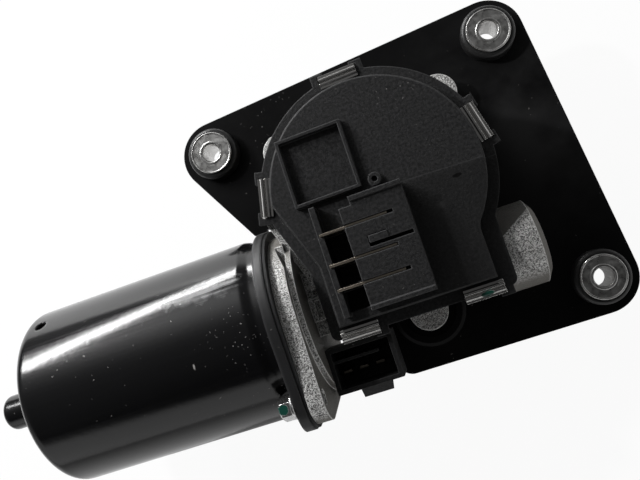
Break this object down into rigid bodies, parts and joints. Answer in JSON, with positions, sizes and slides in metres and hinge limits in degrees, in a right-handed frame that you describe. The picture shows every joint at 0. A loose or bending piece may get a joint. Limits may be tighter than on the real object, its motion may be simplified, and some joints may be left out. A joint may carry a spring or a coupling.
{
  "type": "windscreen wiper gear motor",
  "caption": "Worm-geared wiper motor: black drawn can, cast gear housing, plastic cover with blade connector, and a cushioned mounting plate.",
  "frame": {"origin": "on the output shaft's axis, in the plane of the spacer sleeves' seats on the vehicle", "axes": "+Z along the output shaft towards the cover, +X along the motor's axis from the can to the worm's blind end, +Y away from the motor"},
  "size_m": [0.2465, 0.1317, 0.0932],
  "materials": {
    "plate": "satin black coated steel sheet",
    "grommet": "matte black rubber",
    "sleeve": "zinc-plated, turned",
    "screw": "zinc-plated",
    "casting": "die-cast, blasted",
    "can": "glossy black paint on drawn steel",
    "magnet": "sintered ferrite",
    "steel": "ground steel",
    "laminations": "stamped silicon steel stack",
    "copper": "enamelled copper wire",
    "copper_bars": "bare copper",
    "phenolic": "moulded phenolic",
    "bronze": "oil-filled sintered bronze",
    "carbon": "copper graphite",
    "brass": "stamped brass",
    "clip_steel": "bright spring steel",
    "cover_plastic": "fine-grained dark grey moulding",
    "card_plastic": "moulded, glass filled",
    "gear_plastic": "acetal, natural white",
    "seal": "matte rubber",
    "board": "lacquered fibreglass",
    "relay_plastic": "moulded case"
  },
  "bodies": {
    "frame": {"mounting_plate": "plate", "grommets": "grommet", "spacer_sleeves": "sleeve", "housing_screws": "screw", "gear_housing": "casting", "motor_can": "can", "can_screws": "screw", "can_end_bush": "bronze", "field_magnets": "magnet", "magnet_clips": "clip_steel", "neck_bush": "bronze", "tip_bush": "bronze", "thrust_ball": "steel", "thrust_plug": "steel", "brush_card": "card_plastic", "brush_holders": "brass", "chokes": "laminations", "thermal_breaker": "steel", "motor_connector": "card_plastic", "motor_terminals": "brass", "output_bushes": "bronze", "shaft_seal": "seal", "shaft_washers": "clip_steel", "circuit_board": "board", "relay": "relay_plastic", "board_parts": "relay_plastic", "park_contacts": "brass", "board_screws": "screw", "housing_cover": "cover_plastic", "connector_terminals": "brass", "cover_seal": "seal", "cover_clips": "clip_steel", "brush_spring_common": "clip_steel", "brush_spring_low": "clip_steel", "brush_spring_high": "clip_steel"},
    "armature": {"armature_shaft": "steel", "armature_core": "laminations", "core_insulators": "card_plastic", "armature_windings": "copper", "commutator_hub": "phenolic", "commutator": "copper_bars"},
    "output": {"output_shaft": "steel", "worm_wheel": "gear_plastic", "wheel_hub": "steel", "park_disc": "brass", "shaft_circlip": "clip_steel"},
    "brush_common": {"brush_common": "carbon"},
    "brush_low": {"brush_low": "carbon"},
    "brush_high": {"brush_high": "carbon"}
  },
  "joints": [
    {"name": "armature_spin", "type": "hinge", "parent": "frame", "child": "armature", "pos_m": [0, -0.035, 0.028], "axis": [1, 0, 0], "continuous": true},
    {"name": "output_spin", "type": "hinge", "parent": "frame", "child": "output", "pos_m": [0, 0, 0], "axis": [0, 0, 1], "continuous": true},
    {"name": "brush_common_slide", "type": "slide", "parent": "frame", "child": "brush_common", "axis": [0, -1, 0], "range_m": [0, 0.003], "stiffness_N_per_m": 200, "springref_m": -0.003, "deforming": ["brush_spring_common"]},
    {"name": "brush_low_slide", "type": "slide", "parent": "frame", "child": "brush_low", "axis": [0, 0.5, -0.866], "range_m": [0, 0.003], "stiffness_N_per_m": 200, "springref_m": -0.003, "deforming": ["brush_spring_low"]},
    {"name": "brush_high_slide", "type": "slide", "parent": "frame", "child": "brush_high", "axis": [0, 0.5, 0.866], "range_m": [0, 0.003], "stiffness_N_per_m": 200, "springref_m": -0.003, "deforming": ["brush_spring_high"]}
  ],
  "couplings": [
    {"joint": "output_spin", "follows": "armature_spin", "ratio": -0.016129}
  ]
}
